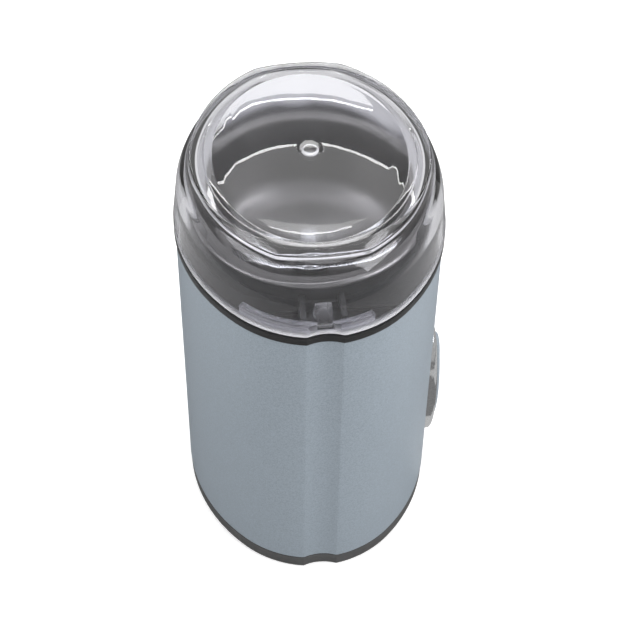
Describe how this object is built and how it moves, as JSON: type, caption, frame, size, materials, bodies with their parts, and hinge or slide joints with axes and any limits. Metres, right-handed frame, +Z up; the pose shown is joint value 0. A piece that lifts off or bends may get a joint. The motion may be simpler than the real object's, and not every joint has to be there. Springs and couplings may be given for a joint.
{
  "type": "electric spice grinder",
  "caption": "Upright oval electric spice grinder with a clear lift-off lid, side push-button, steel bowl with a spinning blade, and motor in a painted shell.",
  "frame": {"origin": "middle of the footprint, on the surface it stands on", "axes": "+Z up, +X towards the push-button on the flat side, -Y towards the end with the lid interlock, +Y towards the end with the cord entry"},
  "size_m": [0.0891, 0.1032, 0.1547],
  "materials": {
    "clear_plastic": "clear moulded plastic",
    "dark_plastic": "fine moulded grain",
    "painted_shell": "grey-blue metallic paint with fine flake",
    "painted_cap": "grey-blue metallic paint with fine flake",
    "base_plastic": "satin",
    "soft_rubber": "matt",
    "zinc_steel": "zinc plated",
    "chrome_trim": "bright plated",
    "spring_steel": "drawn wire",
    "red_plastic": "moulded",
    "nylon": "moulded",
    "stainless_steel": "spun and brushed",
    "blade_steel": "ground",
    "shaft_steel": "ground",
    "bronze": "sintered",
    "cast_metal": "die cast",
    "lamination_steel": "stacked sheet",
    "copper_wire": "enamelled wire",
    "copper_bar": "turned",
    "brass_sheet": "stamped",
    "carbon": "pressed carbon",
    "film_capacitor": "moulded"
  },
  "bodies": {
    "housing": {"collar": "dark_plastic", "body_shell": "painted_shell", "base_ring": "base_plastic", "bottom_plate": "dark_plastic", "rubber_feet": "soft_rubber", "base_screws": "zinc_steel", "button_bezel": "chrome_trim", "button_spring": "spring_steel", "button_guide": "dark_plastic", "power_switch": "dark_plastic", "interlock_spring": "spring_steel", "interlock_switch": "dark_plastic", "grinding_bowl": "stainless_steel", "bowl_gasket": "soft_rubber", "upper_bearing": "bronze", "lower_bearing": "bronze", "upper_bracket": "cast_metal", "lower_bracket": "cast_metal", "bracket_dampers": "soft_rubber", "bracket_screws": "zinc_steel", "motor_bolts": "zinc_steel", "lower_cushion": "soft_rubber", "stator_stack": "lamination_steel", "field_coils": "copper_wire", "brush_holders": "brass_sheet", "carbon_brushes": "carbon", "brush_springs": "spring_steel", "capacitor": "film_capacitor", "terminal_block": "nylon", "cord_entry": "soft_rubber"},
    "lid": {"lid": "clear_plastic"},
    "button": {"button_cap": "painted_cap"},
    "plunger": {"switch_plunger": "red_plastic"},
    "pin": {"interlock_pin": "nylon"},
    "rotor": {"blade": "blade_steel", "blade_spacer": "dark_plastic", "blade_nut": "blade_steel", "motor_shaft": "shaft_steel", "armature_core": "lamination_steel", "armature_windings": "copper_wire", "commutator": "copper_bar", "cooling_fan": "nylon"}
  },
  "joints": [
    {"name": "lid_lift", "type": "slide", "parent": "housing", "child": "lid", "axis": [0, 0, 1], "range_m": [0, 0.06]},
    {"name": "button_press", "type": "slide", "parent": "housing", "child": "button", "axis": [-1, 0, 0], "range_m": [0, 0.0025], "stiffness_N_per_m": 600, "springref_m": -0.001, "deforming": ["button_spring"]},
    {"name": "plunger_press", "type": "slide", "parent": "housing", "child": "plunger", "axis": [-1, 0, 0], "range_m": [0, 0.0025]},
    {"name": "pin_rise", "type": "slide", "parent": "housing", "child": "pin", "axis": [0, 0, 1], "range_m": [0, 0.0025], "deforming": ["interlock_spring"]},
    {"name": "rotor_spin", "type": "hinge", "parent": "housing", "child": "rotor", "pos_m": [0, 0, 0.1], "axis": [0, 0, 1], "continuous": true}
  ],
  "couplings": [
    {"joint": "plunger_press", "follows": "button_press", "ratio": 1},
    {"joint": "pin_rise", "follows": "lid_lift", "ratio": 0.04}
  ]
}
